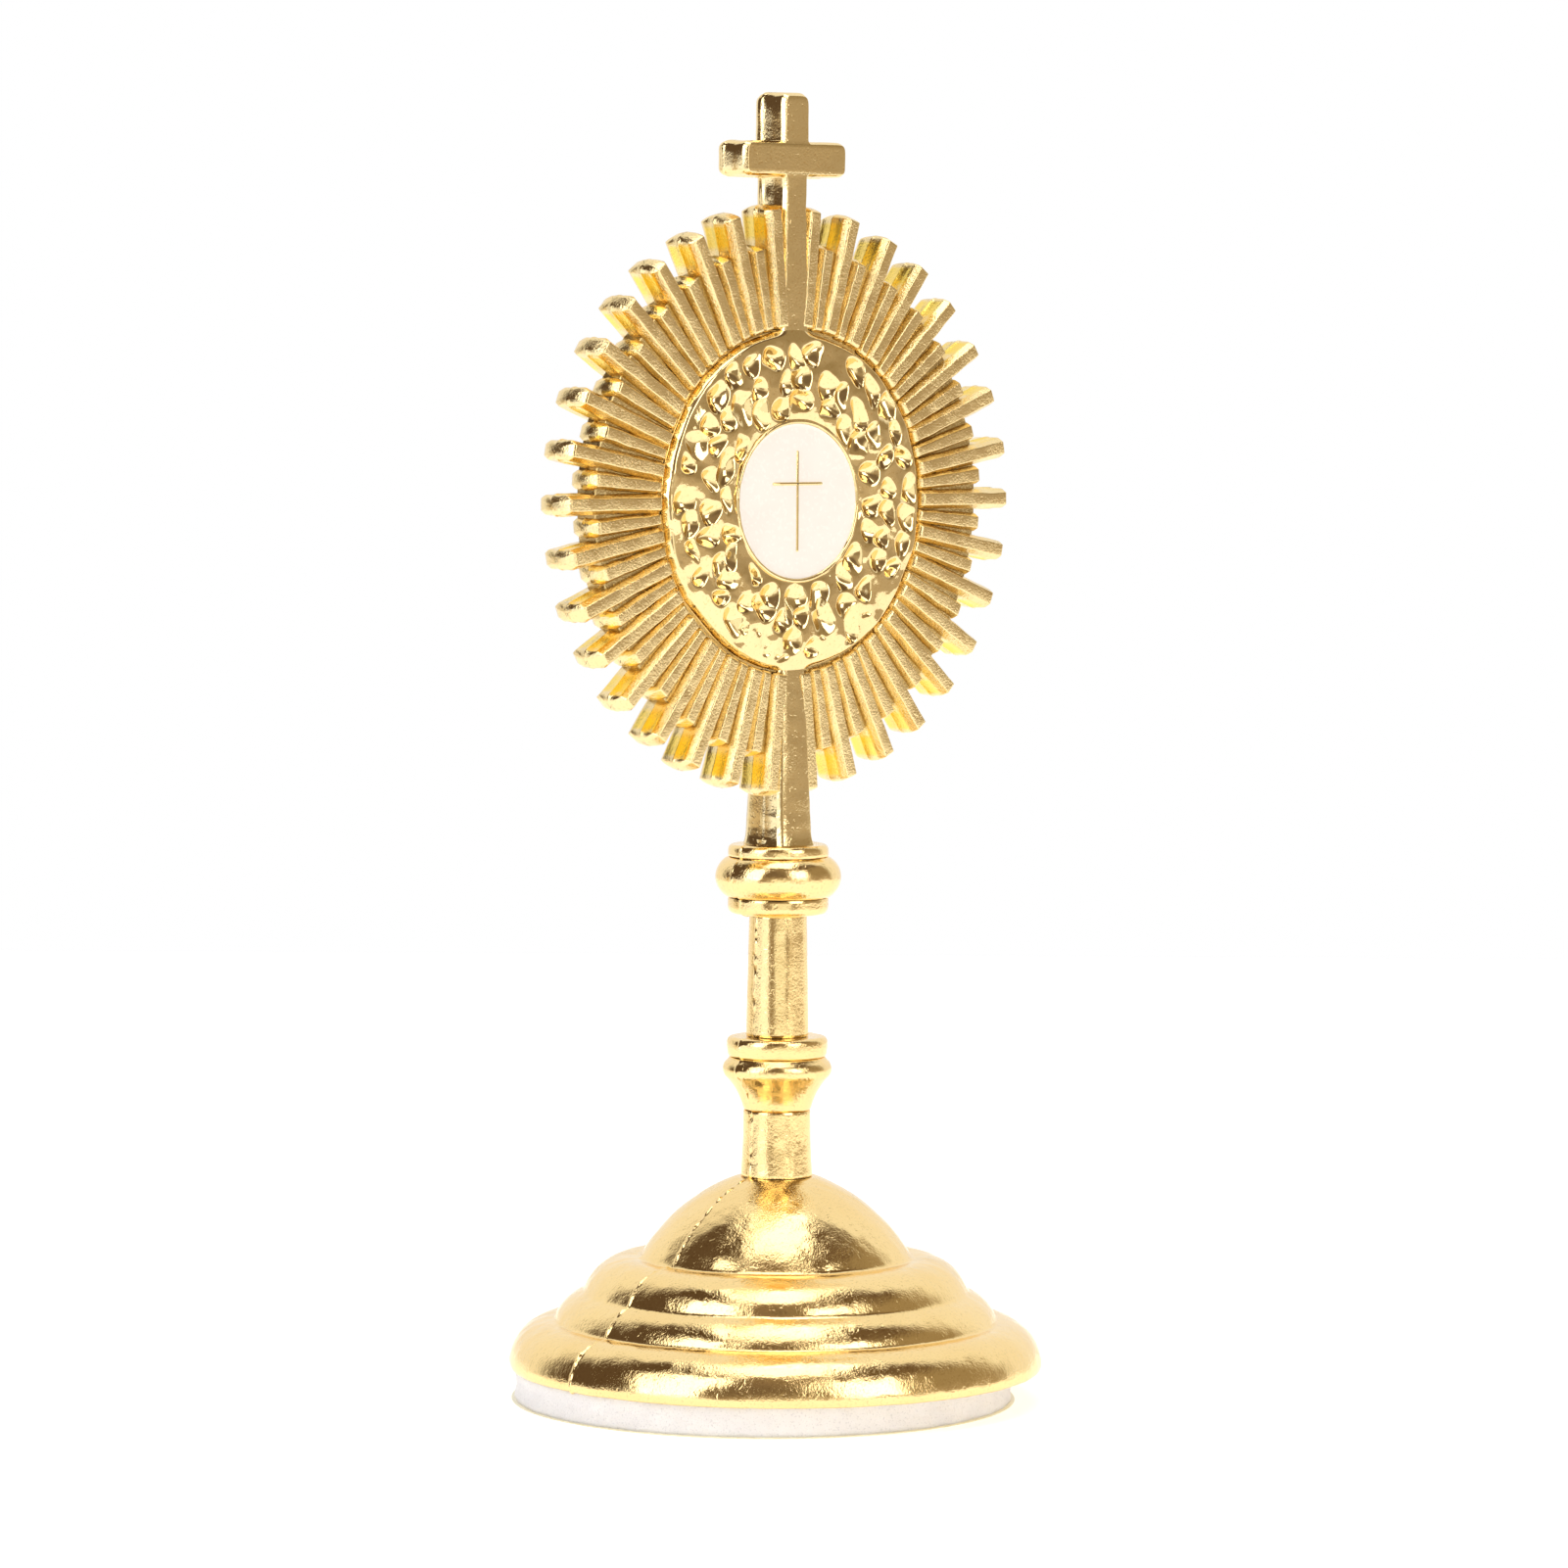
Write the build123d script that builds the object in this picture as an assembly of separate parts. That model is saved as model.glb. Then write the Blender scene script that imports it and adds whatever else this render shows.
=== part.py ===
from build123d import *
import os
from math import cos, radians, sin

# Small gilt table monstrance: a stepped foot on an adhesive foam pad, a stacked stem on one
# tie screw, and a two-sided sunburst that carries a cross, a nimbus and an enamelled host.
# Millimetres. Z is up, the front faces -Y, and the origin is under the foot's centre.

# Overall heights, up the stem
LINER_TOP = 0.08
PAD_TOP = 2.0
FOOT_TOP = 14.25
LOWER_STEM_TOP = 18.5
CONE_TOP = 21.9
COLLAR_TOP = 23.2
UPPER_STEM_TOP = 31.0
LOWER_RING_TOP = 32.05
KNOP_TOP = 34.65
UPPER_RING_TOP = 35.45
HOST_HEIGHT = 57.2
CROSS_ARM_HEIGHT = 78.7
CROSS_TOP = 82.8

# Foot and pad
FOOT_RADIUS = 17.0
PAD_RADIUS = 15.9
PAD_OFFSET = (-0.59, 0.52)      # the pad is stuck on a little off centre
LINER_MARGIN = 0.15             # how far the liner stands out past the pad
BOSS_RADIUS = 2.6
BOSS_BOTTOM = 11.0

# Tie screw, M2 x 25 pan head
SCREW_RADIUS = 1.0
SCREW_LENGTH = 25.0
SCREW_HEAD_RADIUS = 2.0
SCREW_HEAD_HEIGHT = 1.2
SCREW_RECESS = (0.4, 2.0, 0.7)  # the cross recess: slot width, slot length, depth
WASHER_RADIUS = 2.4
WASHER_THICKNESS = 0.4
BORE_RADIUS = 1.1

# Stem
STEM_RADIUS_BOTTOM = 2.3
STEM_RADIUS_MIDDLE = 2.15
STEM_RADIUS_UPPER = 2.0
STEM_RADIUS_TOP = 1.84
REGISTER_RADIUS = 1.6           # spigots that centre one stem piece in the next
REGISTER_LENGTH = 0.6
RING_RADIUS = 3.2
FLANGE_RADIUS = 3.48
KNOP_RADIUS = 4.0
STUB_RADIUS = 1.5
STUB_BOTTOM = 32.3
TAPPED_HOLE_TOP = 36.4

# Neck: half sizes at its foot and at the nimbus
NECK_HALF_WIDTH = (1.4, 1.08)
NECK_HALF_DEPTH = (1.85, 1.35)
NECK_CHAMFER = 0.35

# Sunburst
LONG_RAYS = 34
LONG_RAY_RADIUS = 18.75
LONG_RAY_HALF_WIDTH = 0.65
SHORT_RAY_RADIUS = 16.45
SHORT_RAY_HALF_WIDTH = 0.7
LONG_RAY_HALF_DEPTH = 1.5
SHORT_RAY_HALF_DEPTH = 1.36
RAY_CHAMFER = 0.28
RAY_DOME = 0.45                 # how far a ray's tip bulges past its front edge
RAY_ROOT_RADIUS = 9.0
WEB_RADIUS = 16.0
WEB_HALF_DEPTH = 1.0
TANG_INNER_RADIUS = 7.4         # the cross and neck tangs reach in this far
TANG_HALF_WIDTH = 0.8
TANG_OVERLAP = 1.0              # how far a tang runs into its own bar

# Nimbus and host, depths are forward of the sunburst's middle plane
NIMBUS_RADIUS = 10.8
NIMBUS_RIM_DEPTH = 1.55
NIMBUS_CROWN_DEPTH = 2.15
NIMBUS_INNER_DEPTH = 1.75
PEG_RADIUS = 0.55
PEG_CIRCLE_RADIUS = 8.4
PEG_ANGLES = (30, 150, 210, 330)
PEG_BITE = 0.4                  # how far the pegs reach into each nimbus
BEZEL_OUTER_RADIUS = 5.15
BEZEL_INNER_RADIUS = 4.88
BEZEL_DEPTH = 1.8
ENAMEL_DEPTH = 1.66
EMBLEM_DEPTH = 1.7
EMBLEM_FLOOR = 1.3
EMBLEM_LINE = 0.2
EMBLEM_HALF_HEIGHT = 3.2
EMBLEM_HALF_WIDTH = 2.1
EMBLEM_BAR_HEIGHT = 1.1

# Cross
CROSS_HALF_DEPTH = 1.45
CROSS_BAR_HALF_WIDTH = 1.1
CROSS_ARM_HALF_LENGTH = 4.28
CROSS_SHAFT_HALF_WIDTH = (0.96, 1.14)
CROSS_CHAMFER = 0.33
CROSS_TAPER_TOP = 75.5          # the shaft widens from here down to the nimbus


def outline_face(points):
    """Closed face; a point with a third value is passed through by an arc."""
    edges = []
    start = points[0]
    through = None
    for point in points[1:] + points[:1]:
        if len(point) == 3:
            through = point[:2]
            continue
        if through:
            edges.append(ThreePointArc(start, through, point))
        else:
            edges.append(Line(start, point))
        start = point
        through = None
    return make_face(edges)


def turned(points):
    """Solid turned about the stem's axis from (radius, height) points."""
    return revolve(Plane.XZ * outline_face(points), Axis.Z)


def faced(points):
    """Solid turned about the host's axis from (radius, forward depth) points."""
    flipped = [(point[0], -point[1]) + tuple(point[2:]) for point in points]
    face = Pos(0, 0, HOST_HEIGHT) * outline_face(flipped)
    return revolve(face, Axis((0, 0, HOST_HEIGHT), (0, 1, 0)))


def upright_rod(radius, bottom, top):
    """Plain cylinder on the stem's axis between two heights."""
    return Pos(0, 0, bottom) * extrude(Circle(radius), top - bottom)


def front_slab(points, half_depth):
    """Front outline given as (x, z) points, as thick as twice the half depth."""
    return extrude(Plane.XZ * outline_face(points), half_depth, both=True)


def side_slab(points, half_width):
    """Side outline given as (y, z) points, as wide as twice the half width."""
    return extrude(Plane.YZ * outline_face(points), half_width, both=True)


def to_back(part):
    """The same piece on the other face of the sunburst."""
    return mirror(part, Plane.XZ)


def make_foam_pad():
    x, y = PAD_OFFSET
    disc = extrude(Circle(PAD_RADIUS), PAD_TOP - LINER_TOP)
    return Pos(x, y, LINER_TOP) * disc


def make_release_liner():
    x, y = PAD_OFFSET
    return Pos(x, y, 0) * extrude(Circle(PAD_RADIUS + LINER_MARGIN), LINER_TOP)


def make_foot():
    """Hollow casting: three stepped rings under a dome, with a boss for the tie screw."""
    shell = turned([
        (14.6, PAD_TOP),
        (16.9, PAD_TOP), (FOOT_RADIUS, 2.4), (16.3, 4.1, "arc"), (14.1, 5.1),
        (14.0, 5.4), (13.4, 6.2, "arc"), (12.3, 6.9),
        (12.15, 7.2), (11.3, 8.35, "arc"), (8.7, 9.05),
        (8.55, 9.3), (6.55, 11.75, "arc"), (2.5, FOOT_TOP),
        (BORE_RADIUS, FOOT_TOP), (BORE_RADIUS, BOSS_BOTTOM), (BOSS_RADIUS, BOSS_BOTTOM),
        (BOSS_RADIUS, 12.0), (5.4, 10.9, "arc"), (7.3, 8.4),
        (7.5, 7.9), (10.7, 6.9), (12.6, 5.0), (14.6, 3.5),
    ])
    return shell - upright_rod(REGISTER_RADIUS, FOOT_TOP - REGISTER_LENGTH, FOOT_TOP)


def make_washer():
    top = BOSS_BOTTOM
    bottom = BOSS_BOTTOM - WASHER_THICKNESS
    return upright_rod(WASHER_RADIUS, bottom, top) - upright_rod(BORE_RADIUS, bottom, top)


def make_tie_screw():
    seat = BOSS_BOTTOM - WASHER_THICKNESS
    underside = seat - SCREW_HEAD_HEIGHT
    shank = upright_rod(SCREW_RADIUS, seat, seat + SCREW_LENGTH)
    head = turned([
        (0, seat), (SCREW_HEAD_RADIUS, seat), (SCREW_HEAD_RADIUS, seat - 0.5),
        (1.45, underside + 0.2, "arc"), (0, underside),
    ])
    width, length, depth = SCREW_RECESS
    clear_below = 0.5
    slot = extrude(Rectangle(width, length) + Rectangle(length, width), depth + clear_below)
    return head + shank - Pos(0, 0, underside - clear_below) * slot


def make_lower_stem():
    body = turned([
        (BORE_RADIUS, FOOT_TOP), (STEM_RADIUS_BOTTOM, FOOT_TOP),
        (2.2, 16.0, "arc"), (STEM_RADIUS_MIDDLE, LOWER_STEM_TOP),
        (BORE_RADIUS, LOWER_STEM_TOP),
    ])
    foot_spigot = upright_rod(REGISTER_RADIUS, FOOT_TOP - REGISTER_LENGTH, FOOT_TOP)
    top_spigot = upright_rod(REGISTER_RADIUS, LOWER_STEM_TOP, LOWER_STEM_TOP + REGISTER_LENGTH)
    bore = upright_rod(BORE_RADIUS, FOOT_TOP - 1, LOWER_STEM_TOP + 1)
    return body + foot_spigot + top_spigot - bore


def make_collar_cone():
    cone = turned([
        (BORE_RADIUS, LOWER_STEM_TOP), (STEM_RADIUS_MIDDLE, LOWER_STEM_TOP),
        (2.5, 19.5, "arc"), (3.28, 20.6),
        (FLANGE_RADIUS, 21.2, "arc"), (3.1, 21.75),
        (3.1, CONE_TOP), (BORE_RADIUS, CONE_TOP),
    ])
    return cone - upright_rod(REGISTER_RADIUS, LOWER_STEM_TOP, LOWER_STEM_TOP + REGISTER_LENGTH)


def make_collar_ring():
    ring = turned([
        (BORE_RADIUS, CONE_TOP), (3.1, CONE_TOP),
        (RING_RADIUS, 22.4, "arc"), (RING_RADIUS, 22.85),
        (3.1, 23.1, "arc"), (2.85, COLLAR_TOP),
        (BORE_RADIUS, COLLAR_TOP),
    ])
    return ring - upright_rod(REGISTER_RADIUS, COLLAR_TOP - REGISTER_LENGTH, COLLAR_TOP)


def make_upper_stem():
    body = turned([
        (BORE_RADIUS, COLLAR_TOP), (STEM_RADIUS_UPPER, COLLAR_TOP),
        (STEM_RADIUS_TOP, UPPER_STEM_TOP), (BORE_RADIUS, UPPER_STEM_TOP),
    ])
    foot_spigot = upright_rod(REGISTER_RADIUS, COLLAR_TOP - REGISTER_LENGTH, COLLAR_TOP)
    top_spigot = upright_rod(REGISTER_RADIUS, UPPER_STEM_TOP, UPPER_STEM_TOP + REGISTER_LENGTH)
    bore = upright_rod(BORE_RADIUS, COLLAR_TOP - 1, UPPER_STEM_TOP + 1)
    return body + foot_spigot + top_spigot - bore


def make_knop_lower_ring():
    ring = turned([
        (BORE_RADIUS, UPPER_STEM_TOP), (2.75, UPPER_STEM_TOP),
        (3.1, 31.15, "arc"), (RING_RADIUS, 31.5),
        (RING_RADIUS, LOWER_RING_TOP), (BORE_RADIUS, LOWER_RING_TOP),
    ])
    return ring - upright_rod(REGISTER_RADIUS, UPPER_STEM_TOP, UPPER_STEM_TOP + REGISTER_LENGTH)


def make_knop():
    middle = (LOWER_RING_TOP + KNOP_TOP) / 2
    knop = turned([
        (BORE_RADIUS, LOWER_RING_TOP), (RING_RADIUS, LOWER_RING_TOP),
        (KNOP_RADIUS, middle, "arc"), (RING_RADIUS, KNOP_TOP), (BORE_RADIUS, KNOP_TOP),
    ])
    return knop - upright_rod(STUB_RADIUS, STUB_BOTTOM, KNOP_TOP)


def make_knop_upper_ring():
    return turned([
        (STUB_RADIUS, KNOP_TOP), (RING_RADIUS, KNOP_TOP), (RING_RADIUS, 35.1),
        (3.1, 35.35, "arc"), (2.85, UPPER_RING_TOP), (STUB_RADIUS, UPPER_RING_TOP),
    ])


def make_tang(bottom, top):
    """Flat tongue on the stem's axis, let into the sunburst's web."""
    half = TANG_HALF_WIDTH
    return front_slab([(-half, bottom), (half, bottom), (half, top), (-half, top)], WEB_HALF_DEPTH)


def make_neck():
    """Tapered bar, with a stub down into the knop and a tang up into the sunburst."""
    bottom = UPPER_RING_TOP
    top = HOST_HEIGHT - NIMBUS_RADIUS
    wide, narrow = NECK_HALF_WIDTH
    deep, shallow = NECK_HALF_DEPTH
    front = front_slab([(-wide, bottom), (wide, bottom), (narrow, top), (-narrow, top)], deep)
    side = side_slab([(-deep, bottom), (deep, bottom), (shallow, top), (-shallow, top)], wide)
    bar = front & side
    long_edges = bar.edges().sort_by(SortBy.LENGTH)[-4:]
    bar = chamfer(long_edges, NECK_CHAMFER)
    tang = make_tang(top - TANG_OVERLAP, HOST_HEIGHT - TANG_INNER_RADIUS)
    stub = upright_rod(STUB_RADIUS, STUB_BOTTOM, bottom)
    hole = upright_rod(SCREW_RADIUS, STUB_BOTTOM, TAPPED_HOLE_TOP)
    return bar + tang + stub - hole


def make_cross():
    """Latin cross on a long shaft that runs down between the top two rays."""
    bar = CROSS_BAR_HALF_WIDTH
    arm = CROSS_ARM_HALF_LENGTH
    arm_bottom = CROSS_ARM_HEIGHT - bar
    arm_top = CROSS_ARM_HEIGHT + bar
    slim, broad = CROSS_SHAFT_HALF_WIDTH
    foot = HOST_HEIGHT + NIMBUS_RADIUS
    right_side = [
        (broad, foot), (slim, CROSS_TAPER_TOP), (slim, arm_bottom), (arm, arm_bottom),
        (arm, arm_top), (bar, arm_top), (bar, CROSS_TOP),
    ]
    left_side = [(-x, z) for x, z in reversed(right_side)]
    blank = front_slab(right_side + left_side, CROSS_HALF_DEPTH)
    by_depth = blank.faces().sort_by(Axis.Y)
    face_edges = by_depth[0].edges() + by_depth[-1].edges()
    cross = chamfer(face_edges, CROSS_CHAMFER)
    return cross + make_tang(HOST_HEIGHT + TANG_INNER_RADIUS, foot + TANG_OVERLAP)


def make_ray(length, half_width, half_depth):
    """One ray pointing up from the host's centre, narrow at its root, with a domed tip."""
    root_half_width = half_width * RAY_ROOT_RADIUS / length
    wedge = front_slab([
        (-root_half_width, RAY_ROOT_RADIUS), (root_half_width, RAY_ROOT_RADIUS),
        (half_width, length), (-half_width, length),
    ], half_depth)
    long_edges = wedge.edges().sort_by(SortBy.LENGTH)[-4:]
    wedge = chamfer(long_edges, RAY_CHAMFER)
    shoulder = length - RAY_DOME
    bullet = side_slab([
        (-half_depth, RAY_ROOT_RADIUS), (half_depth, RAY_ROOT_RADIUS),
        (half_depth, shoulder), (0, length, "arc"), (-half_depth, shoulder),
    ], half_width)
    return wedge & bullet


def make_sunburst(fitted_pieces):
    """Web disc with long and short rays by turns, slotted for the pieces let into it."""
    web = faced([(0, -WEB_HALF_DEPTH), (WEB_RADIUS, -WEB_HALF_DEPTH),
                 (WEB_RADIUS, WEB_HALF_DEPTH), (0, WEB_HALF_DEPTH)])
    long_ray = make_ray(LONG_RAY_RADIUS, LONG_RAY_HALF_WIDTH, LONG_RAY_HALF_DEPTH)
    short_ray = make_ray(SHORT_RAY_RADIUS, SHORT_RAY_HALF_WIDTH, SHORT_RAY_HALF_DEPTH)
    pitch = 360 / LONG_RAYS
    rays = []
    for index in range(LONG_RAYS):
        rays.append(Pos(0, 0, HOST_HEIGHT) * Rot(0, (index + 0.5) * pitch, 0) * long_ray)
        # The cross fills the gap at the top and the neck the gap at the bottom
        if index not in (0, LONG_RAYS // 2):
            rays.append(Pos(0, 0, HOST_HEIGHT) * Rot(0, index * pitch, 0) * short_ray)
    sunburst = web.fuse(*rays)
    for piece in fitted_pieces:
        sunburst = sunburst - piece
    for hole in make_pegs(WEB_HALF_DEPTH + 1):
        sunburst = sunburst - hole
    return sunburst


def make_pegs(reach):
    """Four pegs through the web, from the front nimbus towards the back one."""
    pegs = []
    for angle in PEG_ANGLES:
        x = PEG_CIRCLE_RADIUS * sin(radians(angle))
        z = HOST_HEIGHT + PEG_CIRCLE_RADIUS * cos(radians(angle))
        peg = Plane((x, 0, z), z_dir=(0, 1, 0)) * Circle(PEG_RADIUS)
        pegs.append(extrude(peg, reach, both=True))
    return pegs


def make_nimbus_blank():
    return faced([
        (BEZEL_OUTER_RADIUS, WEB_HALF_DEPTH), (NIMBUS_RADIUS, WEB_HALF_DEPTH),
        (NIMBUS_RADIUS, NIMBUS_RIM_DEPTH),
        (7.9, NIMBUS_CROWN_DEPTH, "arc"),
        (BEZEL_OUTER_RADIUS, NIMBUS_INNER_DEPTH),
    ])


def make_bezel():
    return faced([
        (BEZEL_INNER_RADIUS, WEB_HALF_DEPTH), (BEZEL_OUTER_RADIUS, WEB_HALF_DEPTH),
        (BEZEL_OUTER_RADIUS, BEZEL_DEPTH), (BEZEL_INNER_RADIUS, BEZEL_DEPTH),
    ])


def make_emblem():
    """Plain cross of thin gilt wire, standing just proud of the enamel."""
    half = EMBLEM_LINE / 2
    tall = EMBLEM_HALF_HEIGHT
    wide = EMBLEM_HALF_WIDTH
    bar_bottom = EMBLEM_BAR_HEIGHT - half
    bar_top = EMBLEM_BAR_HEIGHT + half
    upright = front_slab([(-half, -tall), (half, -tall), (half, tall), (-half, tall)], EMBLEM_DEPTH)
    bar = front_slab([(-wide, bar_bottom), (wide, bar_bottom), (wide, bar_top), (-wide, bar_top)],
                     EMBLEM_DEPTH)
    margin = BEZEL_INNER_RADIUS
    back_stock = front_slab([(-margin, -margin), (margin, -margin), (margin, margin),
                             (-margin, margin)], EMBLEM_FLOOR)
    behind = Pos(0, EMBLEM_DEPTH, 0) * back_stock
    wire = (upright + bar) - back_stock - behind
    return Pos(0, 0, HOST_HEIGHT) * wire


def make_host(emblem):
    disc = faced([
        (0, WEB_HALF_DEPTH), (BEZEL_INNER_RADIUS, WEB_HALF_DEPTH),
        (BEZEL_INNER_RADIUS, ENAMEL_DEPTH), (0, ENAMEL_DEPTH),
    ])
    return disc - emblem


def make_all():
    cross = make_cross()
    neck = make_neck()
    nimbus_blank = make_nimbus_blank()
    nimbus_back = to_back(nimbus_blank)
    nimbus_front = nimbus_blank
    for peg in make_pegs(WEB_HALF_DEPTH + PEG_BITE):
        nimbus_front = nimbus_front + peg
        nimbus_back = nimbus_back - peg
    sunburst = make_sunburst([cross, neck, nimbus_blank, to_back(nimbus_blank)])
    bezel = make_bezel()
    emblem = make_emblem()
    host = make_host(emblem)
    return {
        "release_liner": make_release_liner(),
        "foam_pad": make_foam_pad(),
        "foot": make_foot(),
        "washer": make_washer(),
        "tie_screw": make_tie_screw(),
        "lower_stem": make_lower_stem(),
        "collar_cone": make_collar_cone(),
        "collar_ring": make_collar_ring(),
        "upper_stem": make_upper_stem(),
        "knop_lower_ring": make_knop_lower_ring(),
        "knop": make_knop(),
        "knop_upper_ring": make_knop_upper_ring(),
        "neck": neck,
        "sunburst": sunburst,
        "cross": cross,
        "nimbus_front": nimbus_front,
        "nimbus_back": nimbus_back,
        "host_bezel_front": bezel,
        "host_bezel_back": to_back(bezel),
        "host_front": host,
        "host_back": to_back(host),
        "host_emblem_front": emblem,
        "host_emblem_back": to_back(emblem),
    }


def main():
    os.makedirs("parts", exist_ok=True)
    for name, part in make_all().items():
        export_step(part, f"parts/{name}.step")


main()
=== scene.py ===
import math

import bpy
import numpy as np
from mathutils import Matrix, Vector
from mathutils.geometry import tessellate_polygon


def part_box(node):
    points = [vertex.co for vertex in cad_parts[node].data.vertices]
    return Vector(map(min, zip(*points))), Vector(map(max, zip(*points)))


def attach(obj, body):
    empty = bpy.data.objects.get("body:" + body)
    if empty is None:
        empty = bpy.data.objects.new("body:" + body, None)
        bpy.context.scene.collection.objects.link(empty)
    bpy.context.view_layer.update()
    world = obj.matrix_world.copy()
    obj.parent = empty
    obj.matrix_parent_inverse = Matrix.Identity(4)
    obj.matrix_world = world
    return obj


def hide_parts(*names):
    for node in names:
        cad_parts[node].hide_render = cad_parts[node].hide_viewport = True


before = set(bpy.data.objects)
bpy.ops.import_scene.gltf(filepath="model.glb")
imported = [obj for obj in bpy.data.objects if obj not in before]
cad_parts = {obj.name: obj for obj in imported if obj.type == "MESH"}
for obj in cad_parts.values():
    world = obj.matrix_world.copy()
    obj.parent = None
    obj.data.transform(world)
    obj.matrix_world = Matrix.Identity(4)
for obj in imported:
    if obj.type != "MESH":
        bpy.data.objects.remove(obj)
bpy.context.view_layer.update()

TAU = 2 * math.pi

# The camera stands in front of the object, round towards its -X side: millimetres and degrees
CAMERA_AZIMUTH = -41.41
CAMERA_DISTANCE = 410.8
CAMERA_HEIGHT = 67.05
CAMERA_SIDESTEP = 0.34
CAMERA_PITCH = -3.873
CAMERA_ROLL = 0.323
CAMERA_LENS = 149.0

# Radii round the host's axis and half depths from the sunburst's middle plane, in millimetres
HOST_RADIUS = 4.88
BEZEL_RADIUS = 5.15
NIMBUS_RADIUS = 10.77
TANG_REACH = 7.4            # inner ends of the tangs that hold the cross and the neck
WEB_RADIUS = 16.0
SHORT_RAY_RADIUS = 16.45
LONG_RAY_RADIUS = 18.75
WEB_HALF_DEPTH = 1.0
CROSS_HALF_DEPTH = 1.45
RAYS = 34                   # long ones; a short one stands between each two

SCREW_BORE = 1.1            # through the stem's pieces
SPIGOT_RADIUS = 1.6         # centres one piece of the stem in the next
SPIGOT_LENGTH = 0.6
STUB_RADIUS = 1.5           # the neck's stub, which reaches down into the knop


def low(node, axis=2):
    """Lowest coordinate of a CAD node, in millimetres."""
    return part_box(node)[0][axis] * 1000


def high(node, axis=2):
    """Highest coordinate of a CAD node, in millimetres."""
    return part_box(node)[1][axis] * 1000


HOST_Z = (low("host_front") + high("host_front")) / 2


# ---------------------------------------------------------------- shapes, in millimetres

def waves(points, wavelength, seed, count=28):
    """Smooth random field of about unit size over an (n, 3) array of points."""
    rng = np.random.default_rng(seed)
    directions = rng.normal(size=(count, 3))
    directions /= np.linalg.norm(directions, axis=1)[:, None]
    spread = rng.uniform(0.7, 1.5, count)
    phases = rng.uniform(0, TAU, count)
    angles = points @ (directions * (TAU / wavelength * spread)[:, None]).T + phases
    return np.sin(angles).sum(axis=1) / math.sqrt(count / 2)


def make_object(name, points, faces, material, node, crease=35,
                body="monstrance", weighted=False):
    """Mesh object from millimetre points, standing for a CAD node."""
    mesh = bpy.data.meshes.new(name)
    mesh.from_pydata([tuple(p) for p in np.asarray(points, dtype=float) * 0.001], [], faces)
    mesh.validate()
    mesh.polygons.foreach_set("use_smooth", [True] * len(mesh.polygons))
    mesh.set_sharp_from_angle(angle=math.radians(crease))
    mesh.materials.append(material)
    piece = bpy.data.objects.new(name, mesh)
    bpy.context.scene.collection.objects.link(piece)
    if weighted:
        modifier = piece.modifiers.new("flat_faces_stay_flat", "WEIGHTED_NORMAL")
        modifier.keep_sharp = True
        modifier.weight = 80
    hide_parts(node)
    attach(piece, body)
    return piece


class Shells:
    """Several closed shells gathered into one mesh."""

    def __init__(self):
        self.points = []
        self.faces = []

    def add(self, points, faces):
        start = len(self.points)
        self.points.extend(np.asarray(points, dtype=float).tolist())
        self.faces.extend([tuple(i + start for i in face) for face in faces])


def arc_through(a, b, c, step):
    """Points along the circle from a by way of b to c, without a itself."""
    ax, ay = a
    bx, by = b
    cx, cy = c
    d = 2 * (ax * (by - cy) + bx * (cy - ay) + cx * (ay - by))
    sa, sb, sc = ax * ax + ay * ay, bx * bx + by * by, cx * cx + cy * cy
    ox = (sa * (by - cy) + sb * (cy - ay) + sc * (ay - by)) / d
    oy = (sa * (cx - bx) + sb * (ax - cx) + sc * (bx - ax)) / d
    radius = math.hypot(ax - ox, ay - oy)
    start = math.atan2(ay - oy, ax - ox)
    middle = math.atan2(by - oy, bx - ox)
    end = math.atan2(cy - oy, cx - ox)
    sweep = (end - start) % TAU
    if (middle - start) % TAU > sweep:
        sweep -= TAU
    count = max(3, round(abs(sweep) * radius / step))
    return [(ox + radius * math.cos(start + sweep * i / count),
             oy + radius * math.sin(start + sweep * i / count)) for i in range(1, count + 1)]


def trace(outline, step):
    """Evenly dense closed line; a point with a third value is passed through by an arc."""
    line = [outline[0][:2]]
    through = None
    for point in outline[1:] + outline[:1]:
        if len(point) == 3:
            through = point[:2]
            continue
        if through:
            line += arc_through(line[-1], through, point, step)
        else:
            a, b = np.array(line[-1]), np.array(point)
            count = max(1, round(np.linalg.norm(b - a) / step))
            line += [tuple(a + (b - a) * i / count) for i in range(1, count + 1)]
        through = None
    return np.array(line[:-1])


def soften(line, rounds):
    """Rounds the corners of a closed line a little, as plating and casting do."""
    for _ in range(rounds):
        line = line * 0.5 + (np.roll(line, 1, axis=0) + np.roll(line, -1, axis=0)) * 0.25
    return line


SEAM_STEPS = [0.2, 0.45, 0.75, 1.1, 1.6, 2.3]


def seam_angles(spacing):
    """Angles round a turned piece, closer together at the two mould seams."""
    angles = set(np.round(np.arange(0, 360, spacing), 4))
    for seam in (0, 180):
        for step in SEAM_STEPS:
            angles.add((seam + step) % 360)
            angles.add((seam - step) % 360)
    return np.radians(sorted(angles))


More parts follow.
